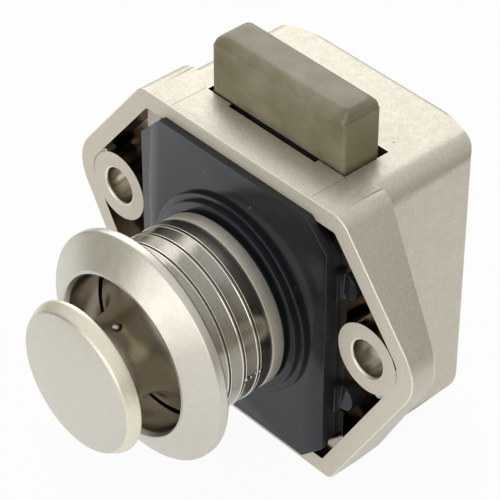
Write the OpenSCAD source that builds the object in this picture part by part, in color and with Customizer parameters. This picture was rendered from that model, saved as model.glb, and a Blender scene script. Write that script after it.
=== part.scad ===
// Pushbutton catch for a cabinet door: die-cast case, sliding bolt, cover plate, rosette and push knob.
// Millimetres. +Z is the way the bolt comes out, -Y is the front of the door.
// The origin is on the knob's axis, in the plane of the case rim that lies on the back of the door.

/* [Case rim] */
// Height of the straight top edge above the knob axis
rim_top = 17.7; // [17:0.1:19]
// Depth of the straight bottom edge below the knob axis
rim_bottom = 17.2; // [16.7:0.1:18]
// Half length of the straight top edge
rim_top_half = 15.0; // [14.2:0.1:15.4]
// Half length of the straight bottom edge
rim_bottom_half = 14.3; // [13.8:0.1:15]
// Sideways place of the round lug's centre
lug_x = 20.2; // [19.8:0.1:21]
// Height of the round lug's centre
lug_z = 3.0; // [2.6:0.1:3.4]
// Radius of the round lug
lug_r = 5.1; // [4.8:0.1:5.4]
// Rounding of the rim's upper corners
rim_top_r = 2.5; // [2.3:0.1:3]
// Rounding of the rim's lower corners
rim_low_r = 1.2; // [1:0.1:1.6]
// Width of the rim's front land
rim_wall = 2.1; // [1.8:0.1:2.3]
// Depth of the wings where they meet the box
wing_root = 6.4; // [6:0.1:6.8]
// Depth of the wings at the lug tips
wing_tip = 3.2; // [2.8:0.1:3.6]
// Thickness of the wings' back skin
wing_skin = 1.3; // [1:0.1:1.5]

/* [Screw lugs] */
// Distance between the two screw holes
screw_spacing = 38.0; // [37.6:0.1:38.6]
// Height of the screw holes above the knob axis
screw_z = 2.6; // [2.4:0.1:3]
// Diameter of the screw holes
screw_d = 4.2; // [3.6:0.1:4.6]
// Outer diameter of the screw bosses
screw_boss_d = 8.1; // [7.6:0.1:8.6]

/* [Case box] */
// Half width of the box
box_half = 15.0; // [14.8:0.1:15.3]
// Depth of the box behind the rim plane
box_depth = 20.8; // [20.4:0.1:21.6]
// Bottom of the box below the knob axis
box_bottom = 15.2; // [15:0.1:15.6]
// Radius along the box's top side edges
box_top_r = 2.6; // [2:0.1:3.4]
// Radius of the box's upright rear edges
box_rear_r = 1.8; // [1.2:0.1:2.4]
// Radius along the box's bottom edges
box_low_r = 1.6; // [1:0.1:2]
// Radius along the box's rear top and rear bottom edges
box_back_r = 1.2; // [0.8:0.1:1.6]
// Half width of the rear's straight middle
rear_flat = 7.4; // [6.4:0.1:8.4]
// How far the rear's slanted ends run forward
rear_drop = 2.2; // [1.4:0.1:2.4]
// Thickness of the side walls
side_wall = 2.1; // [1.8:0.1:2.2]
// Thickness of the floor and the rear wall
back_wall = 1.6; // [1.4:0.1:1.8]
// Depth of the seat for the cover plate
plate_seat = 1.0; // [0.8:0.1:1.2]

/* [Bolt] */
// Width of the bolt
bolt_width = 19.4; // [18.5:0.1:19.6]
// Thickness of the bolt
bolt_thick = 5.0; // [4.8:0.1:5.2]
// Front face of the bolt behind the rim plane
bolt_front = 5.25; // [5.2:0.05:5.4]
// How far the bolt stands out of the case
bolt_throw = 6.7; // [6.2:0.1:7]
// Rounding of the bolt's front top edge
bolt_front_r = 1.3; // [0.8:0.1:1.6]
// Rounding of the bolt's rear top edge
bolt_rear_r = 0.9; // [0.6:0.1:1.2]
// Rounding of the bolt's top ends
bolt_end_r = 0.9; // [0.5:0.1:1.2]
// Gap in front of the bolt in its slot
slot_gap_front = 0.22; // [0.2:0.02:0.3]
// Gap behind the bolt in its slot
slot_gap_rear = 0.9; // [0.4:0.1:1]
// Gap at each end of the bolt in its slot
slot_gap_end = 0.4; // [0.3:0.05:0.6]
// Length of the notch along the slot's front edge
notch_length = 12.8; // [11:0.1:14]
// Width of that notch
notch_width = 0.5; // [0.3:0.1:0.7]
// Depth of that notch
notch_depth = 0.9; // [0.5:0.1:1.2]

/* [Cover plate] */
// Half width of the plate
plate_half = 13.9; // [13.6:0.1:14.1]
// Gap between the plate's body and the rim's inside
plate_gap = 0.35; // [0.2:0.05:0.5]
// How far the plate's front lip covers the rim
plate_lip = 0.5; // [0.3:0.1:0.8]
// Corner chamfer of the plate
plate_chamfer = 3.0; // [2.6:0.1:3.4]
// How far the plate stands in front of the rim
plate_proud = 0.9; // [0.6:0.1:1.2]
// Radius of the boss's wide step
boss_r1 = 11.5; // [11.2:0.1:12]
// Radius of the boss's narrow step
boss_r2 = 10.8; // [10.5:0.1:11]
// Height of the wide step over the plate
boss_h1 = 0.55; // [0.4:0.05:0.7]
// Height of the whole boss over the plate
boss_h2 = 1.15; // [1:0.05:1.3]
// Radius of the collar the rosette sits on
collar_r = 9.4; // [9.2:0.1:9.6]
// Height of that collar over the boss
collar_h = 0.5; // [0.3:0.05:0.6]
// Reach of the side tabs past the plate's edge
tab_reach = 2.3; // [2:0.1:2.6]
// Thickness of the side tabs
tab_thick = 2.0; // [1.6:0.1:2.2]

/* [Rosette] */
// Radius of the barrel
barrel_r = 9.9; // [9.8:0.05:10.1]
// Radius of the barrel's bore
barrel_bore = 8.9; // [8.8:0.05:9]
// Distance of the flange's back from the rim plane
flange_back = 12.7; // [12:0.1:13.2]
// Radius of the flange
flange_r = 12.9; // [12.4:0.1:13.2]
// Height of the flange's round edge band
flange_band = 1.1; // [0.9:0.1:1.3]
// Height of the flange's cone
flange_cone = 2.1; // [1.8:0.1:2.4]
// Radius of the lip at the opening
lip_r = 9.15; // [9.1:0.05:9.3]
// Width of the barrel's grooves
groove_w = 0.6; // [0.4:0.05:0.7]
// Depth of the barrel's grooves
groove_d = 0.3; // [0.2:0.05:0.4]
// Distance of the first groove from the rim plane
groove_start = 6.0; // [5.8:0.1:6.4]
// Distance between the grooves
groove_pitch = 2.0; // [1.8:0.1:2.1]
// Length of the base ring
base_ring = 1.6; // [1.4:0.1:1.8]

/* [Knob] */
// Radius of the knob's head
knob_r = 8.45; // [8.3:0.05:8.7]
// Distance of the head's back from the rim plane
knob_back = 20.2; // [20.2:0.1:21]
// Height of the head's straight edge
knob_edge = 1.65; // [1.2:0.05:1.8]
// How far the head's edge leans in towards the dome
knob_taper = 0.6; // [0.3:0.05:0.8]
// Rise of the domed face
knob_dome = 1.05; // [0.6:0.05:1.4]
// Radius of the neck
neck_r = 4.6; // [4.4:0.1:5]
// Radius of the neck's flare
flare_r = 5.2; // [4.6:0.1:5.6]
// Distance of the flare's foot from the rim plane
flare_foot = 11.0; // [10.9:0.1:11.4]
// Radius of the knob's guide disc
guide_r = 8.6; // [8.5:0.05:8.65]
// Thickness of the guide disc
guide_h = 1.0; // [0.8:0.1:1]
// Depth of the spindle's socket past the flare's foot
socket_depth = 8.5; // [7.5:0.1:8.6]

/* [Mechanism] */
// Travel of the knob and of the bolt
travel = 6.0; // [5.6:0.1:6]
// Radius of the spindle
spindle_r = 2.0; // [1.8:0.1:2.1]
// Running gap round the spindle
spindle_gap = 0.35; // [0.3:0.05:0.45]
// Running gap between the wedge and the bolt's ramps
ramp_gap = 0.22; // [0.2:0.02:0.3]
// Running gap beside the sliding pieces
side_gap = 0.3; // [0.3:0.05:0.4]
// Radius of the wedge's hub
hub_r = 3.6; // [3.5:0.05:3.7]
// Radius of the spring pocket in the hub
hub_pocket_r = 2.8; // [2.7:0.05:2.9]
// Thickness of the wedge's fins
fin_thick = 1.7; // [1.5:0.1:1.8]
// Radius of the spring pockets in the bolt
leg_pocket_r = 1.4; // [1.35:0.05:1.5]
// Wire radius of the button's spring
button_wire_r = 0.3; // [0.25:0.05:0.35]
// Wire radius of the bolt's springs
bolt_wire_r = 0.2; // [0.15:0.05:0.2]
// Gap between a spring and its pocket
coil_gap = 0.22; // [0.2:0.02:0.24]

/* [Hidden] */
$fn = 96;
eps = 0.01;
rim_inner_top = rim_top - rim_wall;
rim_inner_bottom = rim_bottom - rim_wall;
cav_half = box_half - side_wall;
cav_floor = box_bottom - back_wall;
cav_rear = box_depth - back_wall;
rear_slope = rear_drop / (box_half - rear_flat);
cav_inset = 0.25;
screw_x = screw_spacing / 2;
bolt_half = bolt_width / 2;
bolt_rear = bolt_front + bolt_thick;
bolt_mid = (bolt_front + bolt_rear) / 2;
bolt_top = rim_top + bolt_throw;
window_half = 5.4;
window_top = 10.3;
bolt_foot = -6.5;
ramp_c = -10.0;
ramp_half = hub_r + side_gap;
bar_top = bolt_front + ramp_c - 0.2;
leg_mid = (window_half + bolt_half) / 2;
leg_pocket_top = 4.0;
boss_front = plate_proud + boss_h2;
barrel_end = boss_front + collar_h;
spigot_r = barrel_bore - 0.02;
spigot_bore = 7.2;
flange_front = flange_back + flange_band;
lip_front = flange_front + flange_cone;
wedge_front = plate_seat + 0.5;
wedge_rear = cav_rear - travel - 0.4;
fin_in = hub_r - 0.2;
fin_out = fin_in + fin_thick;
fin_foot = -6.5;
fin_top = 2.5;
pocket_floor = 5.4;
head_front = knob_back + knob_edge;
dome_edge = knob_r - knob_taper;
dome_r = (dome_edge * dome_edge + knob_dome * knob_dome) / (2 * knob_dome);
head_land = 0.45;
stop_gap = 0.25;
spigot_end = flare_foot - guide_h - travel - stop_gap;
wedge_plate = 1.6;
button_turns = 8;
bolt_turns = 11;
inner_r = 0.4;
rim_side_land = 2.6;
flange_edge = 0.4;
lip_edge = 0.35;
lip_bevel = 0.8;
base_groove_w = 0.25;
base_groove_d = 0.12;
rail_gap = 0.8;
tab_a = [7.0, 10.4];
tab_b = [-7.6, -4.4];
tab_clear = 0.2;
tab_root = 0.9;
stud_h = 1.2;
bolt_stud_r = 0.6;
button_stud_r = 1.5;
root = 0.5;

// point where the line from p touches the circle (c, r), on the side s (1 left of p->c, -1 right)
function touch(p, c, r, s) =
  let (d = c - p, q = norm(d), a = asin(r / q), l = sqrt(q * q - r * r), b = atan2(d[1], d[0]) + s * a)
  p + l * [cos(b), sin(b)];

// corner of the rim's inside: the slanted side moved in by the wall, cut at height z
function inner_corner(p, t, z, s) =
  let (u = (t - p) / norm(t - p), n = s * [u[1], -u[0]], d = n * p - rim_wall)
  [(d - n[1] * z) / n[0], z];

// corner p between the points a and b, rounded by r: both touch points and the centre
function soften(p, a, b, r) =
  let (u = (a - p) / norm(a - p), v = (b - p) / norm(b - p), h = acos(u * v) / 2, t = r / tan(h))
  [p + t * u, p + t * v, p + r / sin(h) * (u + v) / norm(u + v)];

lug_c = [lug_x, lug_z];
top_p = [rim_top_half, rim_top];
low_p = [rim_bottom_half, -rim_bottom];
up_t = touch(top_p, lug_c, lug_r, 1);
low_t = touch(low_p, lug_c, lug_r, -1);
in_top = inner_corner(top_p, up_t, rim_inner_top, -1);
in_low = inner_corner(low_p, low_t, -rim_inner_bottom, 1);
in_up_t = touch(in_top, lug_c, lug_r - rim_wall, 1);
in_low_t = touch(in_low, lug_c, lug_r - rim_wall, -1);

// XZ outline pushed along Y from y0 to y1
module along_y(y0, y1) {
  translate([0, y1, 0]) rotate([90, 0, 0]) linear_extrude(y1 - y0) children();
}

// YZ outline pushed along X from x0 to x1
module along_x(x0, x1) {
  translate([x0, 0, 0]) rotate([90, 0, 90]) linear_extrude(x1 - x0) children();
}

// profile of radius and forward distance, turned round the knob's axis
module turned() {
  rotate([90, 0, 0]) rotate_extrude() children();
}

module rod_y(x, z, r, y0, y1) {
  translate([x, y1, z]) rotate([90, 0, 0]) cylinder(r = r, h = y1 - y0);
}

module block(x0, x1, y0, y1, z0, z1) {
  translate([x0, y0, z0]) cube([x1 - x0, y1 - y0, z1 - z0]);
}

module both_sides() {
  children();
  mirror([1, 0, 0]) children();
}

// six-sided front outline with a round lug on each side: corners pt and pl, lug touched at tt and tl
module rim_outline(pt, tt, pl, tl, r, top_r, low_r) {
  top = soften(pt, [0, pt[1]], tt, top_r);
  low = soften(pl, tl, [0, pl[1]], low_r);
  half = [top[0], top[1], tt, tl, low[0], low[1]];
  polygon(concat(half, [for (k = [5:-1:0]) [-half[k][0], half[k][1]]]));
  for (s = [-1, 1]) {
    translate([s * lug_x, lug_z]) circle(r = r);
    translate([s * top[2][0], top[2][1]]) circle(r = top_r);
    translate([s * low[2][0], low[2][1]]) circle(r = low_r);
  }
}

module outer_rim() {
  rim_outline(top_p, up_t, low_p, low_t, lug_r, rim_top_r, rim_low_r);
}

module inner_rim() {
  rim_outline(in_top, in_up_t, in_low, in_low_t, lug_r - rim_wall, inner_r, inner_r);
}

// plan of the wings, moved forward by s
module wing_plan(s) {
  slope = (wing_root - wing_tip) / (lug_x + lug_r - box_half);
  wide = lug_x + lug_r + 1;
  tip = wing_tip - slope - s;
  polygon([[-wide, -1], [wide, -1], [wide, tip], [box_half, wing_root - s],
           [-box_half, wing_root - s], [-wide, tip]]);
}

// side view of the rim: the lower edge runs up to the box
module rim_side() {
  polygon([[-1, -rim_bottom - 1], [rim_side_land, -rim_bottom - 1], [rim_side_land, -rim_bottom],
           [wing_root, -box_bottom], [wing_root + 1, rim_top + 1], [-1, rim_top + 1]]);
}

module box_front_view() {
  h = rim_top + box_bottom;
  translate([-box_half, -box_bottom + box_low_r]) square([2 * box_half, h - box_low_r - box_top_r]);
  translate([-box_half + box_top_r, 0]) square([2 * (box_half - box_top_r), rim_top]);
  translate([-box_half + box_low_r, -box_bottom]) square([2 * (box_half - box_low_r), box_bottom]);
  for (s = [-1, 1]) {
    translate([s * (box_half - box_top_r), rim_top - box_top_r]) circle(r = box_top_r);
    translate([s * (box_half - box_low_r), -box_bottom + box_low_r]) circle(r = box_low_r);
  }
}

// plan from y0 to y1 with slanted ends to its rear, and its rear corners rounded by r
module rear_plan(half, y0, y1, flat, r) {
  corner = soften([half, y1 - (half - flat) * rear_slope], [half, y0], [flat, y1], r);
  side = [[half, y0], corner[0], corner[1], [flat, y1]];
  polygon(concat(side, [for (k = [3:-1:0]) [-side[k][0], side[k][1]]]));
  for (s = [-1, 1])
    translate([s * corner[2][0], corner[2][1]]) circle(r = r);
}

module box_side_view() {
  r = box_back_r;
  h = rim_top + box_bottom;
  translate([0, -box_bottom + r]) square([box_depth, h - 2 * r]);
  translate([0, -box_bottom]) square([box_depth - r, h]);
  translate([box_depth - r, rim_top - r]) circle(r = r);
  translate([box_depth - r, -box_bottom + r]) circle(r = r);
}

module box_solid() {
  intersection() {
    along_y(0, box_depth + 1) box_front_view();
    translate([0, 0, -box_bottom - 1]) linear_extrude(rim_top + box_bottom + 2)
      rear_plan(box_half, plate_seat, box_depth, rear_flat, box_rear_r);
    along_x(-box_half - 1, box_half + 1) box_side_view();
  }
}

module wings_solid() {
  intersection() {
    along_y(0, wing_root + 1) outer_rim();
    translate([0, 0, -rim_bottom - 1]) linear_extrude(rim_top + rim_bottom + 2) wing_plan(0);
    along_x(-lug_x - lug_r - 1, lug_x + lug_r + 1) rim_side();
  }
}

// hollow of the wings in front of their back skin, beside the box walls
module wing_pockets() {
  difference() {
    intersection() {
      along_y(-1, wing_root) inner_rim();
      translate([0, 0, -rim_bottom]) linear_extrude(rim_top + rim_bottom) wing_plan(wing_skin);
    }
    block(-box_half, box_half, -2, wing_root + 1, -rim_bottom - 1, rim_top + 1);
  }
}

module tab_notch(t) {
  block(cav_half - 1, box_half + 1, plate_seat - eps, plate_seat + tab_thick,
        t[0] - tab_clear, t[1] + tab_clear);
}

module case() {
  color([0.83, 0.81, 0.75])
  difference() {
    union() {
      difference() {
        union() {
          wings_solid();
          box_solid();
        }
        wing_pockets();
        along_y(-1, plate_seat) inner_rim();
        translate([0, 0, -cav_floor]) linear_extrude(rim_inner_top + cav_floor)
          rear_plan(cav_half, 0, cav_rear, rear_flat - cav_inset, inner_r);
        both_sides() {
          tab_notch(tab_a);
          tab_notch(tab_b);
        }
      }
      // screw bosses, flush with the rim
      intersection() {
        both_sides() rod_y(screw_x, screw_z, screw_boss_d / 2, 0, wing_root);
        translate([0, 0, -rim_bottom]) linear_extrude(rim_top + rim_bottom) wing_plan(0);
      }
      // rails beside the bolt
      both_sides()
        block(bolt_half + side_gap, cav_half + root, bolt_front + rail_gap, bolt_rear - rail_gap,
              -cav_floor - root, rim_inner_top + root);
      // studs that centre the springs
      both_sides() translate([leg_mid, bolt_mid, -cav_floor - root])
        cylinder(r = bolt_stud_r, h = stud_h + root);
      rod_y(0, 0, button_stud_r, cav_rear - stud_h, cav_rear + root);
    }
    // slot for the bolt, with the notch along its front edge
    block(-bolt_half - slot_gap_end, bolt_half + slot_gap_end, bolt_front - slot_gap_front,
          bolt_rear + slot_gap_rear, rim_inner_top - 1, rim_top + 1);
    block(-notch_length / 2, notch_length / 2, bolt_front - slot_gap_front - notch_width,
          bolt_front, rim_top - notch_depth, rim_top + 1);
    // screw holes
    both_sides() rod_y(screw_x, screw_z, screw_d / 2, -1, wing_root + 1);
  }
}

module bolt_side_view() {
  polygon([[bolt_front, bolt_foot], [bolt_rear, bolt_foot], [bolt_rear, bolt_top - bolt_rear_r],
           [bolt_rear - bolt_rear_r, bolt_top], [bolt_front + bolt_front_r, bolt_top],
           [bolt_front, bolt_top - bolt_front_r]]);
  translate([bolt_front + bolt_front_r, bolt_top - bolt_front_r]) circle(r = bolt_front_r);
  translate([bolt_rear - bolt_rear_r, bolt_top - bolt_rear_r]) circle(r = bolt_rear_r);
}

module bolt_front_view() {
  translate([-bolt_half, bolt_foot]) square([bolt_width, bolt_top - bolt_end_r - bolt_foot]);
  translate([-bolt_half + bolt_end_r, bolt_foot])
    square([bolt_width - 2 * bolt_end_r, bolt_top - bolt_foot]);
  for (s = [-1, 1]) translate([s * (bolt_half - bolt_end_r), bolt_top - bolt_end_r]) circle(r = bolt_end_r);
}

module bolt() {
  color([0.58, 0.55, 0.48]) {
    difference() {
      intersection() {
        along_x(-bolt_half - 1, bolt_half + 1) bolt_side_view();
        along_y(bolt_front - 1, bolt_rear + 1) bolt_front_view();
      }
      // window for the wedge: straight in the middle, 45 degree ramps at its sides
      block(-ramp_half, ramp_half, bolt_front - 1, bolt_rear + 1, bar_top, window_top);
      both_sides() along_x(ramp_half - eps, window_half)
        polygon([[bolt_front - 1, bolt_front - 1 + ramp_c], [bolt_rear + 1, bolt_rear + 1 + ramp_c],
                 [bolt_rear + 1, window_top], [bolt_front - 1, window_top]]);
      both_sides() translate([leg_mid, bolt_mid, bolt_foot - 1])
        cylinder(r = leg_pocket_r, h = leg_pocket_top - bolt_foot + 1);
    }
  }
}

// square with cut corners that ends e past the rim's inside, above and below
module plate_outline(e) {
  c = plate_chamfer;
  a = rim_inner_top + e;
  b = -rim_inner_bottom - e;
  w = plate_half;
  polygon([[w - c, a], [w, a - c], [w, b + c], [w - c, b],
           [-w + c, b], [-w, b + c], [-w, a - c], [-w + c, a]]);
}

module tab(t) {
  r = (t[1] - t[0]) / 2;
  x = plate_half + tab_reach - r;
  y = plate_seat + tab_thick - tab_clear;
  block(plate_half - 1, x, plate_seat - eps, y, t[0], t[1]);
  rod_y(x, (t[0] + t[1]) / 2, r, plate_seat - eps, y);
  block(plate_half - 1, x, plate_seat - tab_root, plate_seat, t[0], t[1]);
}

module cover_plate() {
  color([0.10, 0.10, 0.11])
  difference() {
    union() {
      along_y(-plate_proud, 0) plate_outline(plate_lip);
      along_y(-plate_proud, plate_seat) plate_outline(-plate_gap);
      both_sides() {
        tab(tab_a);
        tab(tab_b);
      }
      turned() square([boss_r1, plate_proud + boss_h1]);
      turned() square([boss_r2, boss_front]);
      turned() square([collar_r, barrel_end]);
      turned() square([spigot_r, spigot_end]);
    }
    rod_y(0, 0, spigot_bore, -spigot_end - 1, -plate_proud + 0.3);
    rod_y(0, 0, spindle_r + spindle_gap, -barrel_end, plate_seat + 1);
  }
}

module rosette_profile() {
  difference() {
    union() {
      translate([0, barrel_end]) square([barrel_r, flange_back - barrel_end]);
      polygon([[0, flange_back], [flange_r - flange_edge, flange_back], [flange_r, flange_back + flange_edge],
               [flange_r, flange_front - flange_edge], [flange_r - flange_edge, flange_front],
               [lip_r + lip_edge, lip_front], [0, lip_front]]);
    }
    translate([0, barrel_end - 1]) square([barrel_bore, lip_front - barrel_end + 2]);
    polygon([[barrel_bore - 0.1, lip_front + 1], [lip_r + 0.05, lip_front + 1], [lip_r + 0.05, lip_front],
             [barrel_bore, lip_front - lip_bevel], [barrel_bore - 0.1, lip_front - lip_bevel]]);
    for (i = [0:2])
      translate([barrel_r - groove_d, groove_start + i * groove_pitch - groove_w / 2]) square([1, groove_w]);
    translate([barrel_r - base_groove_d, barrel_end + base_ring]) square([1, base_groove_w]);
  }
}

module rosette() {
  color([0.80, 0.79, 0.76]) turned() rosette_profile();
}

module head_profile() {
  polygon([[0, knob_back], [knob_r, knob_back], [knob_r, knob_back + head_land], [dome_edge, head_front],
           [0, head_front]]);
  intersection() {
    translate([0, head_front - eps]) square([dome_edge, knob_dome + 1]);
    translate([0, head_front + knob_dome - dome_r]) circle(r = dome_r, $fn = 192);
  }
}

// neck with the trumpet flare that ends in the guide disc
module neck_profile() {
  translate([0, flare_foot - guide_h]) square([guide_r, guide_h]);
  difference() {
    translate([0, flare_foot - eps]) square([guide_r, knob_back - flare_foot + 2 * eps]);
    translate([neck_r + flare_r, flare_foot + flare_r]) circle(r = flare_r);
    translate([neck_r, flare_foot + flare_r]) square([guide_r, knob_back - flare_foot]);
  }
}

module knob() {
  color([0.80, 0.79, 0.77]) turned() difference() {
    union() {
      head_profile();
      neck_profile();
    }
    translate([-1, flare_foot - guide_h - 1]) square([spindle_r + 1, socket_depth + guide_h + 1]);
  }
}

module spindle() {
  color([0.62, 0.62, 0.63]) rod_y(0, 0, spindle_r, -flare_foot - socket_depth, pocket_floor - 0.4);
}

module fin_side_view() {
  c = ramp_c + ramp_gap;
  polygon([[wedge_front, fin_top], [wedge_front, fin_foot], [fin_foot - c, fin_foot],
           [fin_top - 1 - c, fin_top - 1], [fin_top - 1 - c, fin_top]]);
}

module drive_wedge() {
  color([0.20, 0.20, 0.21])
  difference() {
    union() {
      rod_y(0, 0, hub_r, wedge_front, wedge_rear);
      both_sides() along_x(fin_in, fin_out) fin_side_view();
      block(-fin_out, fin_out, wedge_front, wedge_front + wedge_plate, fin_foot, fin_top);
    }
    rod_y(0, 0, spindle_r, wedge_front - 1, pocket_floor - 0.4);
    rod_y(0, 0, hub_pocket_r, pocket_floor, wedge_rear + 1);
  }
}

// coil of round wire standing on z = 0
module coil(mean_r, wire_r, length, turns) {
  steps = 14;
  sides = 6;
  n = steps * turns;
  rise = length - 2 * wire_r;
  points = [for (i = [0:n]) let (a = 360 * i / steps, z = wire_r + rise * i / n)
    for (k = [0:sides - 1]) let (b = 360 * k / sides, q = mean_r + wire_r * cos(b))
      [q * cos(a), q * sin(a), z + 0.98 * wire_r * sin(b)]];
  skin = [for (i = [0:n - 1]) for (k = [0:sides - 1]) let (m = (k + 1) % sides, a = i * sides)
    for (t = [[a + k, a + m, a + sides + m], [a + k, a + sides + m, a + sides + k]]) t];
  first = [[for (k = [0:sides - 1]) sides - 1 - k]];
  last = [[for (k = [0:sides - 1]) n * sides + k]];
  polyhedron(points, concat(first, skin, last), convexity = 8);
}

module button_spring() {
  color([0.70, 0.70, 0.72]) translate([0, cav_rear, 0]) rotate([90, 0, 0])
    coil(hub_pocket_r - coil_gap - button_wire_r, button_wire_r, cav_rear - pocket_floor, button_turns);
}

module bolt_spring_left() {
  color([0.70, 0.70, 0.72]) translate([-leg_mid, bolt_mid, -cav_floor])
    coil(leg_pocket_r - coil_gap - bolt_wire_r, bolt_wire_r, cav_floor + leg_pocket_top, bolt_turns);
}

module bolt_spring_right() {
  color([0.70, 0.70, 0.72]) translate([leg_mid, bolt_mid, -cav_floor])
    coil(leg_pocket_r - coil_gap - bolt_wire_r, bolt_wire_r, cav_floor + leg_pocket_top, bolt_turns);
}

case();
bolt();
cover_plate();
rosette();
knob();
spindle();
drive_wedge();
button_spring();
bolt_spring_left();
bolt_spring_right();
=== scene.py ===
import math

import bmesh
import bpy
from mathutils import Matrix, Vector


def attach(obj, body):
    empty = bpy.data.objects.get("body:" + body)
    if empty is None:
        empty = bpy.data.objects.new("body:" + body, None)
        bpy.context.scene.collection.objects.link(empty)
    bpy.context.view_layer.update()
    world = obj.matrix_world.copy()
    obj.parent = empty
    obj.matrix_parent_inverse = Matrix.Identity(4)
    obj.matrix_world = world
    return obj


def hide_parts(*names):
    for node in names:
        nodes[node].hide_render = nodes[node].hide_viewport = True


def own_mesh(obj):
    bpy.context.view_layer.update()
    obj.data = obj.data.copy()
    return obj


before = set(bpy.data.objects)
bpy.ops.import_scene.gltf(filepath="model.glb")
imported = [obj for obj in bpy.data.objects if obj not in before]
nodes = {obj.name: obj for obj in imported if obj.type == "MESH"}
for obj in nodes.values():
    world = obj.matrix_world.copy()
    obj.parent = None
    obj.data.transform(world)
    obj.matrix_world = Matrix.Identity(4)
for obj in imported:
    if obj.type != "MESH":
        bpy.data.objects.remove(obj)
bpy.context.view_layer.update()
mm = 0.001  # sizes are written in millimetres
sharpCast, sharpTurned = 24, 40  # degrees from which an edge stays sharp
print("frame loaded")


# materials

def shaderBase(name):
    mat = bpy.data.materials.new(name)
    mat.use_nodes = True
    tree = mat.node_tree
    shader = tree.nodes["Principled BSDF"]
    coord = tree.nodes.new("ShaderNodeTexCoord")
    return mat, tree, shader, coord.outputs["Object"]


def noiseOn(tree, vector, scale, detail=3.0, rough=0.55):
    noise = tree.nodes.new("ShaderNodeTexNoise")
    noise.inputs["Scale"].default_value = scale
    noise.inputs["Detail"].default_value = detail
    noise.inputs["Roughness"].default_value = rough
    tree.links.new(vector, noise.inputs["Vector"])
    return noise.outputs["Fac"]


def rampOn(tree, value, low, high):
    ramp = tree.nodes.new("ShaderNodeValToRGB")
    ramp.color_ramp.elements[0].position = 0.35
    ramp.color_ramp.elements[1].position = 0.65
    ramp.color_ramp.elements[0].color = (*low, 1)
    ramp.color_ramp.elements[1].color = (*high, 1)
    tree.links.new(value, ramp.inputs["Fac"])
    return ramp.outputs["Color"]


def rangeOn(tree, value, low, high):
    span = tree.nodes.new("ShaderNodeMapRange")
    span.inputs["From Min"].default_value = 0.3
    span.inputs["From Max"].default_value = 0.7
    span.inputs["To Min"].default_value = low
    span.inputs["To Max"].default_value = high
    tree.links.new(value, span.inputs["Value"])
    return span.outputs["Result"]


def bumpOn(tree, value, shader, distance):
    bump = tree.nodes.new("ShaderNodeBump")
    bump.inputs["Strength"].default_value = 1.0
    bump.inputs["Distance"].default_value = distance
    tree.links.new(value, bump.inputs["Height"])
    tree.links.new(bump.outputs["Normal"], shader.inputs["Normal"])


def turnedPlace(tree, place):  # radius and depth, for marks that run round the axis
    split = tree.nodes.new("ShaderNodeSeparateXYZ")
    tree.links.new(place, split.inputs[0])
    flat = tree.nodes.new("ShaderNodeCombineXYZ")
    tree.links.new(split.outputs["X"], flat.inputs["X"])
    tree.links.new(split.outputs["Z"], flat.inputs["Z"])
    size = tree.nodes.new("ShaderNodeVectorMath")
    size.operation = "LENGTH"
    tree.links.new(flat.outputs[0], size.inputs[0])
    ring = tree.nodes.new("ShaderNodeCombineXYZ")
    tree.links.new(size.outputs["Value"], ring.inputs["X"])
    tree.links.new(split.outputs["Y"], ring.inputs["Y"])
    return ring.outputs[0]


def metal(name, dark, light, rough, grain, grainHeight, turned=False, metallic=1.0):
    mat, tree, shader, place = shaderBase(name)
    shader.inputs["Metallic"].default_value = metallic
    cloud = noiseOn(tree, place, 3200, 4.0, 0.6)
    tree.links.new(rampOn(tree, cloud, dark, light), shader.inputs["Base Color"])
    marks = turnedPlace(tree, place) if turned else place
    wear = noiseOn(tree, marks, 900)
    tree.links.new(rangeOn(tree, wear, *rough), shader.inputs["Roughness"])
    bumpOn(tree, noiseOn(tree, marks, grain, 2.0), shader, grainHeight)
    return mat


def plastic(name, dark, light, rough, grain, grainHeight):
    mat, tree, shader, place = shaderBase(name)
    cloud = noiseOn(tree, place, 190, 7.0, 0.66)
    tree.links.new(rampOn(tree, cloud, dark, light), shader.inputs["Base Color"])
    wear = noiseOn(tree, place, 500)
    tree.links.new(rangeOn(tree, wear, *rough), shader.inputs["Roughness"])
    bumpOn(tree, noiseOn(tree, place, grain, 2.0), shader, grainHeight)
    return mat


satinNickel = metal("satinNickel", dark=(0.59, 0.557, 0.474), light=(0.67, 0.633, 0.541), rough=(0.43, 0.51),
                    grain=4200, grainHeight=0.00003, metallic=0.93)
# lighter, more matte copy of the case nickel for the front land: painted sheen
landSheenNickel = metal("landSheenNickel", dark=(0.66, 0.62, 0.533), light=(0.735, 0.69, 0.597), rough=(0.66, 0.74),
                   grain=4200, grainHeight=0.00003, metallic=0.6)
# darker nickel for the insides of the pockets and slot well: painted shade in the recesses
pocketShadeNickel = metal("pocketShadeNickel", dark=(0.36, 0.318, 0.275), light=(0.46, 0.41, 0.36), rough=(0.12, 0.2),
                     grain=3000, grainHeight=0.000004)
# dark nickel for the seam lines and the small pit on the case top: painted shade of a groove and a recess
seamShadeNickel = metal("seamShadeNickel", dark=(0.24, 0.22, 0.18), light=(0.30, 0.28, 0.23), rough=(0.35, 0.45),
                   grain=3000, grainHeight=0.000003)
rosetteNickel = metal("rosetteNickel", dark=(0.655, 0.628, 0.558), light=(0.705, 0.676, 0.604), rough=(0.33, 0.41),
                      grain=4200, grainHeight=0.00001)
baseNickel = metal("baseNickel", dark=(0.68, 0.645, 0.555), light=(0.74, 0.705, 0.615), rough=(0.50, 0.58),
                   grain=3600, grainHeight=0.000004)
barrelNickel = metal("barrelNickel", dark=(0.33, 0.316, 0.28), light=(0.39, 0.373, 0.332), rough=(0.17, 0.23),
                     grain=2600, grainHeight=0.0000005, turned=True)
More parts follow.
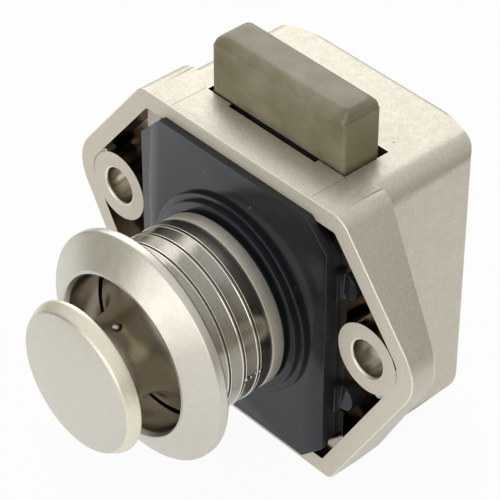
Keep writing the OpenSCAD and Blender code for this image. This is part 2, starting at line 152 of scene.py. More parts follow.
# dark brown nickel for the groove floors: painted shade in the grooves
grooveShadeNickel = metal("grooveShadeNickel", dark=(0.34, 0.275, 0.21), light=(0.40, 0.33, 0.255), rough=(0.25, 0.35),
                     grain=2600, grainHeight=0.000001, turned=True)
neckNickel = metal("neckNickel", dark=(0.49, 0.453, 0.39), light=(0.55, 0.508, 0.44), rough=(0.16, 0.21),
                   grain=2600, grainHeight=0.0000005, turned=True)
pitNickel = metal("pitNickel", dark=(0.07, 0.058, 0.046), light=(0.10, 0.083, 0.066), rough=(0.25, 0.35),
                  grain=2600, grainHeight=0.000001)
# brighter, glossier nickel for the raised lips beside the grooves: painted highlight on the lips
lipHighlightNickel = metal("lipHighlightNickel", dark=(0.80, 0.77, 0.69), light=(0.86, 0.83, 0.75), rough=(0.14, 0.2),
                  grain=2600, grainHeight=0.0000005, turned=True)
# brighter, yellower nickel for the knob's side band: painted reflection on the band
sideSheenNickel = metal("sideSheenNickel", dark=(0.84, 0.80, 0.66), light=(0.89, 0.85, 0.71), rough=(0.36, 0.44),
                   grain=4200, grainHeight=0.00001)
# brighter nickel for the case's bevelled edges: painted highlight along the edges
edgeHighlightNickel = metal("edgeHighlightNickel", dark=(0.80, 0.765, 0.68), light=(0.86, 0.825, 0.74), rough=(0.28, 0.36),
                   grain=4200, grainHeight=0.00001)
boreNickel = metal("boreNickel", dark=(0.50, 0.46, 0.39), light=(0.56, 0.515, 0.44), rough=(0.16, 0.24),
                   grain=3000, grainHeight=0.000002)
boltPlastic = plastic("boltPlastic", dark=(0.172, 0.15, 0.086), light=(0.272, 0.246, 0.168), rough=(0.25, 0.33),
                      grain=3600, grainHeight=0.000002)
# warmer plastic for the bolt's ends and lighter beige for its rounded corners: painted glow of light passing through
# the plastic
endGlowPlastic = plastic("endGlowPlastic", dark=(0.185, 0.16, 0.085), light=(0.225, 0.198, 0.112), rough=(0.30, 0.40),
                     grain=3600, grainHeight=0.000002)
cornerGlowBeige = plastic("cornerGlowBeige", dark=(0.215, 0.187, 0.108), light=(0.29, 0.262, 0.172), rough=(0.26, 0.34),
                    grain=3600, grainHeight=0.000002)
blackPlastic = plastic("blackPlastic", dark=(0.007, 0.009, 0.011), light=(0.012, 0.014, 0.017), rough=(0.14, 0.2),
                       grain=1500, grainHeight=0.0000015)
blackPlastic.node_tree.nodes["Principled BSDF"].inputs["Specular Tint"].default_value = (0.84, 0.92, 1.0, 1)
edgePlastic = plastic("edgePlastic", dark=(0.008, 0.009, 0.011), light=(0.013, 0.014, 0.016), rough=(0.5, 0.6),
                      grain=1500, grainHeight=0.000002)
scratchPlastic = plastic("scratchPlastic", dark=(0.20, 0.20, 0.21), light=(0.30, 0.30, 0.31), rough=(0.5, 0.6),
                         grain=1500, grainHeight=0.000002)
darkPlastic = plastic("darkPlastic", dark=(0.03, 0.03, 0.032), light=(0.05, 0.05, 0.053), rough=(0.4, 0.5),
                      grain=1500, grainHeight=0.00001)
steel = metal("steel", dark=(0.45, 0.45, 0.46), light=(0.52, 0.52, 0.53), rough=(0.25, 0.35),
              grain=3000, grainHeight=0.000003)
print("materials made")


# helpers for pieces

def addPiece(bm, name, body, slotName, mats, *replaced):
    mesh = bpy.data.meshes.new(name)
    bm.to_mesh(mesh)
    bm.free()
    obj = bpy.data.objects.new(name, mesh)
    bpy.context.scene.collection.objects.link(obj)
    for mat in mats:
        mesh.materials.append(mat)
    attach(obj, body)
    if replaced:
        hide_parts(*replaced)
    return obj


def mergedCopy(node):
    bm = bmesh.new()
    bm.from_mesh(nodes[node].data)
    bmesh.ops.remove_doubles(bm, verts=bm.verts, dist=1e-7)
    bmesh.ops.dissolve_limit(bm, angle_limit=math.radians(0.3), verts=bm.verts, edges=bm.edges, delimit=set())
    bmesh.ops.recalc_face_normals(bm, faces=bm.faces)
    for face in bm.faces:
        face.material_index = 0
    return bm


def markEdges(bm, widthOf, widest):
    weight = bm.edges.layers.float.new("bevel_weight_edge")
    for face in bm.faces:
        face.smooth = True
    for edge in bm.edges:
        angle = math.degrees(edge.calc_face_angle(0))
        edge.smooth = angle < sharpCast
        if angle >= sharpCast and edge.is_convex:
            width = widthOf(edge)
            if width > 0:
                edge[weight] = width / widest
                edge.smooth = True


def softenEdges(obj, widest, segments, material=-1):
    bevel = obj.modifiers.new("edges", "BEVEL")
    bevel.limit_method = "WEIGHT"
    bevel.width = widest * mm
    bevel.segments = segments
    bevel.material = material
    bevel.use_clamp_overlap = False
    bevel.harden_normals = True
    bevel.miter_outer = "MITER_SHARP"


def roundedLoop(corners, steps):  # corners are (radius, depth, rounding)
    path = []
    count = len(corners)
    for i, (r, f, rounding) in enumerate(corners):
        here = Vector((r, f))
        if rounding == 0:
            path.append(here)
            continue
        before = Vector(corners[i - 1][:2]) - here
        after = Vector(corners[(i + 1) % count][:2]) - here
        before.normalize()
        after.normalize()
        half = before.angle(after) / 2
        reach = rounding / math.tan(half)
        centre = here + (before + after).normalized() * (rounding / math.sin(half))
        a = here + before * reach - centre
        b = here + after * reach - centre
        turn = a.angle_signed(b)
        for k in range(steps + 1):
            path.append(centre + Matrix.Rotation(-turn * k / steps, 2) @ a)
    return path


def lathe(path, steps):
    bm = bmesh.new()
    verts = [bm.verts.new((p[0] * mm, -p[1] * mm, 0)) for p in path]
    edges = [bm.edges.new((verts[i - 1], verts[i])) for i in range(len(verts))]
    bmesh.ops.spin(bm, geom=verts + edges, cent=(0, 0, 0), axis=(0, 1, 0), dvec=(0, 0, 0),
                   angle=2 * math.pi, steps=steps, use_merge=True, use_duplicate=False)
    bmesh.ops.remove_doubles(bm, verts=bm.verts, dist=1e-7)
    bmesh.ops.dissolve_degenerate(bm, edges=bm.edges, dist=1e-8)
    bmesh.ops.recalc_face_normals(bm, faces=bm.faces)
    for face in bm.faces:
        face.smooth = True
    for edge in bm.edges:
        edge.smooth = math.degrees(edge.calc_face_angle(0)) < sharpTurned
    return bm


def addBlock(bm, centre, size, turn=0.0, material=0):
    verts = bmesh.ops.create_cube(bm, size=1.0)["verts"]
    shape = Matrix.Diagonal(Vector(size) * mm).to_4x4()
    place = Matrix.Rotation(turn, 4, "Y") @ Matrix.Translation(Vector(centre) * mm)
    bmesh.ops.transform(bm, matrix=place @ shape, verts=verts)
    for face in {f for v in verts for f in v.link_faces}:
        face.material_index = material


def addBead(bm, centre, size, material=0):
    verts = bmesh.ops.create_icosphere(bm, subdivisions=2, radius=1.0)["verts"]
    shape = Matrix.Diagonal(Vector(size) * mm).to_4x4()
    bmesh.ops.transform(bm, matrix=Matrix.Translation(Vector(centre) * mm) @ shape, verts=verts)
    for face in {f for v in verts for f in v.link_faces}:
        face.material_index = material
        face.smooth = True


def evenNormals(obj):
    mod = obj.modifiers.new("normals", "WEIGHTED_NORMAL")
    mod.keep_sharp = True


# case

caseSpec = {"front": 0.13, "back": 0.24, "backHigh": 0.08, "hole": 0.25, "slot": 0.1, "widest": 0.25,  # edges
            "fadeFrom": 4, "fade": 6, "slack": 0.1, "land": 0.05, "step": 0.3,
            "screwX": 19.0, "screwZ": 2.6, "holeR": 2.1, "lugR": 4.3, "bossR": 4.2,
            "slotHalf": 10.5, "slotY": (4, 12), "wellY": (4.3, 11.4), "wellLow": 12, "wingX": 14.0, "wingY": (2, 6.6),
            "pocketHalf": 15.2, "pocketRear": 6, "bridge": 4.1, "web": (0.5, 1.2, 0.5), "webY": 0.63, "webStep": 6,
            "webs": ((-1, 60, -42), (1, 12, -66)),  # side, upper and lower angle
            "seamX": 10.3, "seamY": 2.65, "seam": (0.045, 4.7, 0.024), "pitAt": (9.35, 12.56),
            "pit": (0.16, 0.12, 0.012),
            "half": 15.0, "depth": 20.8, "bottom": 15.2, "top": 17.7, "rearFlat": 7.4, "rearDrop": 2.2, "rearR": 1.8,
            "backR": 1.2, "lowR": 2.1, "blend": 4.5, "lowSteps": 6, "cornerY": 16, "cornerZ": -13}


def toScrew(mid):
    return math.hypot(abs(mid.x) - caseSpec["screwX"], mid.z - caseSpec["screwZ"])


def caseEdge(edge):
    s = caseSpec
    mid = (edge.verts[0].co + edge.verts[1].co) / 2 / mm
    na, nb = (f.normal for f in edge.link_faces)
    wall = na if abs(na.y) < abs(nb.y) else nb
    outward = wall.x * mid.x + wall.z * mid.z > 0
    if toScrew(mid) < s["holeR"] + s["slack"]:
        return s["hole"]
    if min(na.y, nb.y) < -0.95 and mid.y < s["land"]:
        return s["front"] if outward and toScrew(mid) > s["lugR"] else 0.0
    if mid.z > s["top"] - s["slack"] and abs(mid.x) < s["slotHalf"] and s["slotY"][0] < mid.y < s["slotY"][1]:
        return s["slot"]
    onWing = abs(mid.x) > s["wingX"] and s["wingY"][0] < mid.y < s["wingY"][1]
    if max(na.y, nb.y) > 0.9 and outward and onWing:
        share = min(max((s["screwZ"] + s["fadeFrom"] - mid.z) / s["fade"], 0), 1)
        return s["backHigh"] + (s["back"] - s["backHigh"]) * share
    return 0.0


def inHole(face):
    mid = face.calc_center_median() / mm
    return toScrew(mid) < caseSpec["holeR"] + caseSpec["slack"] and abs(face.normal.y) < 0.3


# front-facing land around the plate, which gets the painted sheen
def onLand(face):
    return face.normal.y < -0.95 and face.calc_center_median().y < caseSpec["land"] * mm


# faces inside the pockets and slot well, which get painted shade
def inPocket(face):
    s = caseSpec
    mid = face.calc_center_median() / mm
    inSlot = abs(mid.x) < s["slotHalf"] - s["slack"] and s["wellY"][0] < mid.y < s["wellY"][1]
    if inSlot and s["wellLow"] < mid.z < s["top"] - s["slack"]:
        return True
    inward = face.normal.x * mid.x + face.normal.z * mid.z < 0
    if toScrew(mid) < s["holeR"] + 2 * s["slack"] or mid.y < s["land"]:
        return False
    if face.normal.y < -0.9:
        return mid.y > s["step"]
    if abs(mid.x) < s["pocketHalf"] and abs(face.normal.x) > 0.9 and not inward:
        return s["step"] < mid.y < s["pocketRear"]
    return inward and abs(face.normal.y) < 0.1 or toScrew(mid) < s["bossR"]


# picks each face's nickel: painted shade in the pockets and a painted sheen on the front land
def caseFinishAndPaintedLight(face):
    if inHole(face):
        return boreNickel
    if inPocket(face):
        return pocketShadeNickel
    return landSheenNickel if onLand(face) else satinNickel


def plannedDepth(s, side, x, y):  # how far inside the box's rear outline, and the way out
    flank = Vector((side, 0))
    slant = Vector((side * s["rearDrop"] / (s["half"] - s["rearFlat"]), 1)).normalized()
    here, start = Vector((x, y)), Vector((side * s["rearFlat"], s["depth"]))
    cx = side * (s["half"] - s["rearR"])
    centre = Vector((cx, start.y - (s["rearR"] - slant.x * (start.x - cx)) / slant.y))
    out = here - centre
    if side * flank.cross(out) > 0 and side * out.cross(slant) > 0:
        return s["rearR"] - out.length, out.normalized()
    toFlank, toSlant = s["half"] - side * x, (start - here).dot(slant)
    return (toFlank, flank) if toFlank < toSlant else (toSlant, slant)


def inLowCorner(vert, s, side):
    x, y, z = vert.co
    return side * x > s["rearFlat"] * mm and y > s["cornerY"] * mm and z < s["cornerZ"] * mm


def roundLowRear(bm, s, side):  # cuts near the corner, then draws its points in to a rounding
    slant = Vector((side * s["rearDrop"] / (s["half"] - s["rearFlat"]), 1, 0)).normalized()
    start = Vector((side * s["rearFlat"], s["depth"], 0))
    for k in range(s["lowSteps"] + 1):
        inset = s["lowR"] * (1 - math.sin(math.pi / 2 * k / s["lowSteps"]))
        rise = Vector((0, 0, inset - s["bottom"]))
        for spot, way in ((start - slant * inset, slant), (rise, Vector((0, 0, 1)))):
            corner = [v for v in bm.verts if inLowCorner(v, s, side)]
            faces = dict.fromkeys(f for v in corner for f in v.link_faces)
            edges = dict.fromkeys(e for f in faces for e in f.edges)
            verts = dict.fromkeys(v for f in faces for v in f.verts)
            bmesh.ops.bisect_plane(bm, geom=[*verts, *edges, *faces], plane_co=spot * mm, plane_no=way,
                                   dist=1e-7)
    for vert in bm.verts:
        x, y, z = vert.co / mm
        if side * x < s["rearFlat"] or y < 15 or z > -10:
            continue
        depth, out = plannedDepth(s, side, x, y)
        level = z + s["bottom"]
        r = s["backR"] + (s["lowR"] - s["backR"]) * min((side * x - s["rearFlat"]) / s["blend"], 1)
        reach = math.hypot(r - depth, r - level)
        if reach > r + 1e-4 and depth < r and level < r:
            share = 1 - r / reach
            inward = (r - depth) * share
            vert.co -= Vector((out.x * inward, out.y * inward, (level - r) * share)) * mm


caseBm = mergedCopy("case")
for side in (-1, 1):
    roundLowRear(caseBm, caseSpec, side)
markEdges(caseBm, caseEdge, caseSpec["widest"])
caseMats = [satinNickel, pocketShadeNickel, seamShadeNickel, boreNickel, landSheenNickel, edgeHighlightNickel]
seamShadeIndex = caseMats.index(seamShadeNickel)
for face in caseBm.faces:
    face.material_index = caseMats.index(caseFinishAndPaintedLight(face))
for side, high, low in caseSpec["webs"]:
    boss = Vector((side * caseSpec["screwX"], caseSpec["webY"], caseSpec["screwZ"]))
    for degrees in range(low, high + 1, caseSpec["webStep"]):
        turn = math.radians(degrees)
        spot = Vector((side * math.cos(turn), 0, math.sin(turn))) * caseSpec["bridge"]
        addBlock(caseBm, spot + boss, caseSpec["web"])
    # a thin dark strip along the top: painted shade of a seam groove
    seamAt = (side * caseSpec["seamX"], caseSpec["seamY"], caseSpec["top"])
    addBlock(caseBm, seamAt, caseSpec["seam"], 0.0, seamShadeIndex)
# a small flat dark disc: painted shade of a pit
addBead(caseBm, (*caseSpec["pitAt"], caseSpec["top"]), caseSpec["pit"], seamShadeIndex)
caseShell = addPiece(caseBm, "caseShell", "housing", "satin_nickel", caseMats, "case")
# the bevels get the brighter nickel: painted highlight along the front and rear edges
softenEdges(caseShell, caseSpec["widest"], 4, caseMats.index(edgeHighlightNickel))
print("case made")


# bolt

boltSpec = {"half": 9.7, "front": 5.25, "rear": 10.25, "cut": 13.0, "top": 24.4, "edge": 0.45, "frontR": 1.3,
            "rearR": 0.9, "endR": 0.9, "steps": 8, "ledge": 1.05, "step": 0.05, "inset": 0.16, "lap": 0.2, "flow": 0.6,
            "cornerSteps": 5, "endFrom": 8.0, "shadowGapStrip": (-1.65, 5.25, 17.15), "shadowGapSize": (15.9, 0.03, 0.9)}


def wholeOf(bm):
    return bm.verts[:] + bm.edges[:] + bm.faces[:]


def headLoop(bm, s, turn, low=None):  # one rounded outline of the head, at a turn of its edge
    inset = {k: s[k] * (1 - math.cos(turn)) for k in ("frontR", "rearR", "endR")}
    level = {k: s["top"] - s[k] * (1 - math.sin(turn)) if low is None else low for k in inset}
    verts = []
    for sx, along, start in ((1, "frontR", -90), (1, "rearR", 0), (-1, "rearR", 90), (-1, "frontR", 180)):
        x = sx * (s["half"] - inset["endR"])
        y = s["front"] + inset["frontR"] if along == "frontR" else s["rear"] - inset["rearR"]
        r = s["edge"] + s["flow"] * inset["endR"]
        cx = x - sx * r
        cy = y + r if along == "frontR" else y - r
        for k in range(s["cornerSteps"] + 1):
            a = math.radians(start + 90 / s["cornerSteps"] * k)
            share = abs(math.cos(a)) ** 2
            z = level["endR"] * share + level[along] * (1 - share)
            verts.append(bm.verts.new(Vector((cx + r * math.cos(a), cy + r * math.sin(a), z)) * mm))
    return [bm.edges.new((verts[i - 1], verts[i])) for i in range(len(verts))]


def boltHead(s):
    bm = bmesh.new()
    loops = [headLoop(bm, s, 0.0, s["cut"] - s["lap"])]
    loops += [headLoop(bm, s, math.pi / 2 * k / s["steps"]) for k in range(s["steps"] + 1)]
    for lower, upper in zip(loops, loops[1:]):
        bmesh.ops.bridge_loops(bm, edges=lower + upper)
    for loop in (loops[0], loops[-1]):
        bmesh.ops.contextual_create(bm, geom=loop)
    for drop in (s["ledge"], s["ledge"] + s["step"]):
        level = (0, 0, (s["top"] - drop) * mm)
        bmesh.ops.bisect_plane(bm, geom=wholeOf(bm), plane_co=level, plane_no=(0, 0, 1), dist=1e-7)
    for vert in bm.verts:
        if vert.co.z > (s["top"] - s["ledge"]) * mm - 1e-6 and abs(vert.co.x) > s["endFrom"] * mm:
            vert.co.x -= math.copysign(s["inset"] * mm, vert.co.x)
    bmesh.ops.recalc_face_normals(bm, faces=bm.faces)
    for face in bm.faces:
        n = face.normal
        face.smooth = True
        # end faces and rounded corners get the painted glow of light through the plastic
        if abs(n.x) > 0.9:
            face.material_index = 1
        elif abs(n.x) > 0.2 and abs(n.y) > 0.2:
            face.material_index = 3
    for edge in bm.edges:
        edge.smooth = math.degrees(edge.calc_face_angle(0)) < sharpTurned
    return bm


boltBm = mergedCopy("bolt")
bmesh.ops.bisect_plane(boltBm, geom=wholeOf(boltBm), plane_co=(0, 0, boltSpec["cut"] * mm),
                       plane_no=(0, 0, 1), dist=1e-7, clear_outer=True)
bmesh.ops.holes_fill(boltBm, edges=[e for e in boltBm.edges if e.is_boundary])
for edge in boltBm.edges:
    edge.smooth = math.degrees(edge.calc_face_angle(0)) < sharpTurned
for face in boltBm.faces:
    face.smooth = True
headMesh = bpy.data.meshes.new("boltHead")
headBm = boltHead(boltSpec)
headBm.to_mesh(headMesh)
headBm.free()
boltBm.from_mesh(headMesh)
bpy.data.meshes.remove(headMesh)
# a thin black strip on the bolt's front just under the notch: painted shadow of the gap between bolt and case
addBlock(boltBm, boltSpec["shadowGapStrip"], boltSpec["shadowGapSize"], 0.0, 2)
boltMats = [boltPlastic, endGlowPlastic, blackPlastic, cornerGlowBeige]
boltBody = addPiece(boltBm, "boltBody", "bolt", "bolt_plastic", boltMats, "bolt")
evenNormals(boltBody)
print("bolt made")


# cover plate

plateSpec = {"edge": 0.07, "widest": 0.07, "bossR": 13.2, "front": -0.9, "scratch": (0.05, 0.006),
             "scratches": ((2.8, 12.7, 0.5, 0.5), (9.6, 6.5, 0.9, 0.4), (11.0, 1.5, 1.3, 0.5),
                           (-4.0, 13.4, 0.2, 0.7))}  # across, up, turn, length
plateBm = mergedCopy("cover_plate")
markEdges(plateBm, lambda edge: plateSpec["edge"], plateSpec["widest"])
for face in plateBm.faces:
    mid = face.calc_center_median() / mm
    if abs(face.normal.y) < 0.5 and math.hypot(mid.x, mid.z) > plateSpec["bossR"]:
        face.material_index = 2
for x, z, turn, length in plateSpec["scratches"]:
    spot = Matrix.Rotation(-turn, 3, "Y") @ Vector((x, plateSpec["front"], z))
    addBlock(plateBm, spot, (*plateSpec["scratch"], length), turn, 1)
plateMats = [blackPlastic, scratchPlastic, edgePlastic]
plateBody = addPiece(plateBm, "plateBody", "housing", "black_plastic", plateMats, "cover_plate")
softenEdges(plateBody, plateSpec["widest"], 3)
print("cover plate made")


# rosette

rosetteSpec = {"bore": 8.9, "barrel": 9.9, "foot": 2.55, "base": 4.15, "flangeBack": 12.7, "flange": 12.9,
               "band": 13.8, "lipFront": 15.9, "lip": 9.5, "grooves": (6.0, 8.0, 10.0), "groove": 0.26,
               "depth": 0.17, "lips": 0.06, "lipWide": 0.16, "seam": 0.15, "steps": 192,
               "barY": -3.4, "bar": (0.03, 1.3, 0.09),
               "blisters": ((-7.75, 0.0, 0.34), (-7.05, -0.1, 0.22), (-6.5, 0.15, 0.16), (-5.9, 0.0, 0.24))}


def rosettePath(s):
    path = [(s["bore"], s["foot"], 0.1), (s["barrel"], s["foot"], 0.2), (s["barrel"], s["base"], 0.08),
            (s["barrel"] - 0.12, s["base"] + 0.02, 0.0), (s["barrel"] - 0.12, s["base"] + 0.22, 0.0),
            (s["barrel"], s["base"] + 0.3, 0.08)]
    for f in s["grooves"]:
        a, b = f - s["groove"] / 2, f + s["groove"] / 2
        low = s["barrel"] - s["depth"]
        lips = s["barrel"] + s["lips"]
        wide = s["lipWide"]
        path += [(s["barrel"], a - wide, 0.03), (lips, a - wide + 0.06, 0.03), (lips, a, 0.05),
                 (low, a + 0.06, 0.06), (low, b - 0.06, 0.06),
                 (lips, b, 0.05), (lips, b + wide - 0.06, 0.03), (s["barrel"], b + wide, 0.03)]
    path += [(s["barrel"], s["flangeBack"], 0.3), (s["flange"], s["flangeBack"], 0.35),
             (s["flange"], s["band"], 0.35), (s["lip"], s["lipFront"], 0.18),
             (s["bore"] + 0.25, s["lipFront"] - 0.05, 0.12), (s["bore"], s["lipFront"] - 0.7, 0.2)]
    return roundedLoop(path, 5)


# picks each face's nickel: painted highlight on the groove lips and painted shade in the grooves
def rosetteFinishAndPaintedLight(f, radius):
    if radius < 9.0:
        return 4
    if f > rosetteSpec["flangeBack"] - 0.05:
        return 0
    if f < rosetteSpec["base"] + 0.03:
        return 3
    toGroove = min(abs(f - g) for g in rosetteSpec["grooves"]) - rosetteSpec["groove"] / 2
    if toGroove < 0.0:
        return 2
    return 5 if toGroove < rosetteSpec["lipWide"] else 1


rosetteBm = lathe(rosettePath(rosetteSpec), rosetteSpec["steps"])
for face in rosetteBm.faces:
    mid = face.calc_center_median() / mm
    face.material_index = rosetteFinishAndPaintedLight(-mid.y, math.hypot(mid.x, mid.z))
seamTurn = rosetteSpec["seam"]
turned = Matrix.Rotation(seamTurn, 3, "Y")
addBlock(rosetteBm, (rosetteSpec["barrel"], rosetteSpec["barY"], 0), rosetteSpec["bar"], seamTurn, 0)
for y, z, size in rosetteSpec["blisters"]:  # a dark ring under each blister
    ring, bead = Vector((0.15, 1.5, 1.5)) * size, Vector((0.6, 0.8, 0.8)) * size
    addBead(rosetteBm, turned @ Vector((rosetteSpec["barrel"] + 0.01, y, z)), ring, 6)
    addBead(rosetteBm, turned @ Vector((rosetteSpec["barrel"], y, z)), bead, 0)
rosetteMats = [rosetteNickel, barrelNickel, grooveShadeNickel, baseNickel, neckNickel, lipHighlightNickel, pitNickel]
rosette = addPiece(rosetteBm, "rosetteBody", "housing", "rosette_nickel", rosetteMats, "rosette")
evenNormals(rosette)
print("rosette made")


# knob

knobSpec = {"head": 8.45, "back": 20.2, "land": 20.65, "edge": 21.85, "front": 22.9, "domeEdge": 7.85, "neck": 4.6,
            "flare": 5.2, "foot": 11.0, "guide": 8.6, "guideBack": 10.0, "bore": 2.0, "boreEnd": 19.5, "steps": 160,
            "blisterAt": (0.4, -16.6, 4.6), "blister": (0.42, 0.45, 0.24), "ringAt": (0.4, -16.6, 4.58),
            "ring": (0.62, 0.66, 0.06)}


def knobPath(s):
    path = [Vector((s["bore"], s["guideBack"])), Vector((s["guide"], s["guideBack"]))]
    centre = Vector((s["neck"] + s["flare"], s["foot"] + s["flare"]))
    first = math.asin((centre[0] - s["guide"]) / s["flare"])
    for k in range(25):
        a = first + (math.pi / 2 - first) * k / 24
        path.append(centre - s["flare"] * Vector((math.sin(a), math.cos(a))))
    path += roundedLoop([(s["neck"], s["foot"] + s["flare"] + 0.3, 0.0), (s["neck"], s["back"], 0.5),
                         (s["head"] - 0.1, s["back"], 0.0)], 6)[1:-1]
    domeR = (s["domeEdge"] ** 2 + (s["front"] - s["edge"]) ** 2) / (2 * (s["front"] - s["edge"]))
    inner = s["domeEdge"] - 1.5
    innerF = s["front"] - domeR + math.sqrt(domeR ** 2 - inner ** 2)
    rim = [(s["neck"] + 0.8, s["back"], 0.0), (s["head"], s["back"], 0.2), (s["head"], s["land"], 0.8),
           (s["domeEdge"], s["edge"], 0.7), (inner, innerF, 0.0)]
    path += roundedLoop(rim, 8)[1:]
    for k in range(1, 25):
        r = inner * (1 - k / 24)
        path.append(Vector((r, s["front"] - domeR + math.sqrt(domeR ** 2 - r ** 2))))
    path += [Vector((0.0, s["boreEnd"])), Vector((s["bore"], s["boreEnd"]))]
    return path


knobBm = lathe(knobPath(knobSpec), knobSpec["steps"])
for face in knobBm.faces:
    f = -face.calc_center_median().y / mm
    # the side band gets the painted reflection
    face.material_index = 1 if f < knobSpec["back"] - 0.02 else 2 if abs(face.normal.y) < 0.72 else 0
addBead(knobBm, knobSpec["blisterAt"], knobSpec["blister"], 0)
addBead(knobBm, knobSpec["ringAt"], knobSpec["ring"], 3)
knobMats = [rosetteNickel, neckNickel, sideSheenNickel, pitNickel]
knob = addPiece(knobBm, "knobBody", "button", "knob_nickel", knobMats, "knob")
evenNormals(knob)
print("knob made")


# springs, spindle and wedge

buttonCoil = {"centre": (0, 19.2, 0), "axis": (0, -1, 0), "meanR": 2.28, "wireR": 0.29, "length": 13.75, "turns": 8,
              "joint": "button_press", "keep": 0.565}
boltCoil = {"centre": (7.55, 7.75, -13.6), "axis": (0, 0, 1), "meanR": 0.98, "wireR": 0.195, "length": 17.55,
            "turns": 11, "joint": "bolt_slide", "keep": 0.659}


def coilSpring(name, node, s, flip=1):
    bm = bmesh.new()
    x, y, z = s["centre"]
    centre, axis, side = Vector((flip * x, y, z)) * mm, Vector(s["axis"]), Vector((1, 0, 0))
    wireR = s["wireR"] * mm
    steps = 24 * s["turns"]
    rise = (s["length"] * mm - 2 * wireR) / steps
    start = centre + axis * wireR + side * (s["meanR"] * mm)
    frameMat = Matrix((side, axis, side.cross(axis))).transposed().to_4x4()
    ring = bmesh.ops.create_circle(bm, segments=10, radius=wireR, cap_ends=True)["verts"]
    bmesh.ops.transform(bm, matrix=Matrix.Translation(start) @ frameMat, verts=ring)
    bmesh.ops.spin(bm, geom=bm.faces[:], cent=centre, axis=axis, dvec=axis * rise, angle=2 * math.pi * s["turns"],
                   steps=steps, use_merge=False, use_duplicate=False)
    bmesh.ops.recalc_face_normals(bm, faces=bm.faces)
    for face in bm.faces:
        face.smooth = len(face.verts) == 4
    spring = addPiece(bm, name, "housing", "steel", [steel], node)
    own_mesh(spring)


coilSpring("buttonCoil", "button_spring", buttonCoil)
for flip, name in ((-1, "left"), (1, "right")):
    coilSpring("boltCoil_" + name, "bolt_spring_" + name, boltCoil, flip)

for node, mat, slotName in (("spindle", steel, "steel"), ("drive_wedge", darkPlastic, "dark_plastic")):
    nodes[node].data.materials.clear()
    nodes[node].data.materials.append(mat)
print("inner pieces made")


# floor, light and camera

floorSpec = {"z": -17.3, "size": 0.12, "colour": (0.78, 0.77, 0.75), "rough": 0.9, "mirrored": 0.75, "seen": 0.94}
bm = bmesh.new()
bmesh.ops.create_grid(bm, x_segments=1, y_segments=1, size=floorSpec["size"])
bmesh.ops.translate(bm, verts=bm.verts, vec=(0, 0, floorSpec["z"] * mm))
floorMesh = bpy.data.meshes.new("floor")
bm.to_mesh(floorMesh)
bm.free()
floor = bpy.data.objects.new("floor", floorMesh)
bpy.context.scene.collection.objects.link(floor)
floorMat = bpy.data.materials.new("floor")
floorMat.use_nodes = True
tree = floorMat.node_tree
tree.nodes["Principled BSDF"].inputs["Base Color"].default_value = (*floorSpec["colour"], 1)
tree.nodes["Principled BSDF"].inputs["Roughness"].default_value = floorSpec["rough"]
glow = tree.nodes.new("ShaderNodeEmission")
path = tree.nodes.new("ShaderNodeLightPath")
seen = tree.nodes.new("ShaderNodeMath")
seen.operation = "MULTIPLY_ADD"
seen.inputs[1].default_value = floorSpec["mirrored"]
lit = tree.nodes.new("ShaderNodeMath")
lit.operation = "MULTIPLY"
lit.inputs[1].default_value = floorSpec["seen"]
blend = tree.nodes.new("ShaderNodeMixShader")
mirrored = tree.nodes.new("ShaderNodeMath")
mirrored.operation = "MAXIMUM"
tree.links.new(path.outputs["Is Camera Ray"], lit.inputs[0])
tree.links.new(path.outputs["Is Glossy Ray"], mirrored.inputs[0])
tree.links.new(path.outputs["Is Transmission Ray"], mirrored.inputs[1])
tree.links.new(mirrored.outputs[0], seen.inputs[0])
tree.links.new(lit.outputs[0], seen.inputs[2])
tree.links.new(seen.outputs[0], blend.inputs[0])
tree.links.new(tree.nodes["Principled BSDF"].outputs[0], blend.inputs[1])
tree.links.new(glow.outputs[0], blend.inputs[2])
tree.links.new(blend.outputs[0], tree.nodes["Material Output"].inputs["Surface"])
floorMesh.materials.append(floorMat)

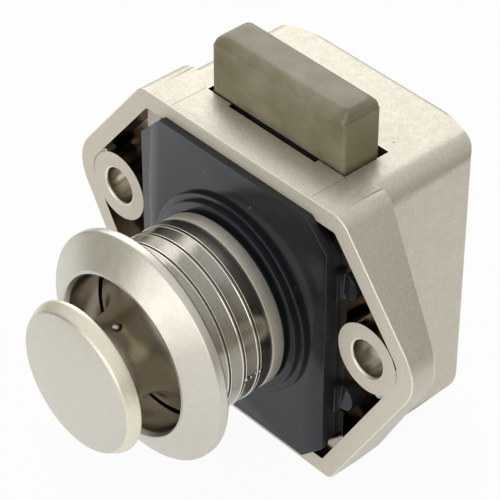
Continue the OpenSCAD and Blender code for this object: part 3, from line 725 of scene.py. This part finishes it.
skySpec = {"horizon": (0.37, 0.358, 0.3), "high": (0.85, 0.85, 0.85), "highAt": 0.9}
world = bpy.data.worlds.new("studio")
bpy.context.scene.world = world
world.use_nodes = True
tree = world.node_tree
sky = tree.nodes["Background"]
coord = tree.nodes.new("ShaderNodeTexCoord")
split = tree.nodes.new("ShaderNodeSeparateXYZ")
ramp = tree.nodes.new("ShaderNodeValToRGB")
ramp.color_ramp.elements[0].position = 0.0
ramp.color_ramp.elements[0].color = (*skySpec["horizon"], 1)
ramp.color_ramp.elements[1].position = skySpec["highAt"]
ramp.color_ramp.elements[1].color = (*skySpec["high"], 1)
tree.links.new(coord.outputs["Generated"], split.inputs[0])
tree.links.new(split.outputs["Z"], ramp.inputs["Fac"])
tree.links.new(ramp.outputs["Color"], sky.inputs["Color"])
sky.inputs["Strength"].default_value = 1.0


lampSpec = {"overhead": {"place": (-0.36, 0.26, 0.25), "size": (0.4, 0.4), "watts": 0.78},
            "front": {"place": (0.08, -0.42, 0.1), "size": (0.62, 0.26), "watts": 0.72}}  # metres
for name, s in lampSpec.items():
    lamp = bpy.data.lights.new(name, "AREA")
    lamp.shape = "RECTANGLE"
    lamp.size, lamp.size_y = s["size"]
    lamp.energy = s["watts"]
    lampObj = bpy.data.objects.new(name, lamp)
    lampObj.location = s["place"]
    lampObj.rotation_euler = (-Vector(s["place"])).to_track_quat("-Z", "Y").to_euler()  # aimed at the origin
    bpy.context.scene.collection.objects.link(lampObj)

viewSpec = {"azimuth": 47.6158, "elevation": 38.9741, "roll": -0.0772, "focal": 2549.51, "distance": 264.356,
            "aside": 1.25689, "up": 3.97387, "sensor": 36.0, "frame": 500}
a, e, roll = (math.radians(viewSpec[k]) for k in ("azimuth", "elevation", "roll"))
back = Vector((math.sin(a) * math.cos(e), -math.cos(a) * math.cos(e), math.sin(e)))
right = Vector((math.cos(a), math.sin(a), 0))
up = back.cross(right)
axisX = right * math.cos(roll) - up * math.sin(roll)
axisY = right * math.sin(roll) + up * math.cos(roll)
camera = bpy.data.cameras.new("camera")
camera.sensor_width = viewSpec["sensor"]
camera.lens = viewSpec["sensor"] * viewSpec["focal"] / viewSpec["frame"]
camera.clip_start = 0.01
cameraObj = bpy.data.objects.new("camera", camera)
spot = (back * viewSpec["distance"] + right * viewSpec["aside"] + up * viewSpec["up"]) * mm
cameraObj.matrix_world = Matrix.Translation(spot) @ Matrix((axisX, axisY, back)).transposed().to_4x4()
bpy.context.scene.collection.objects.link(cameraObj)
bpy.context.scene.camera = cameraObj
bpy.context.scene.view_settings.view_transform = "Standard"
print("stage made")
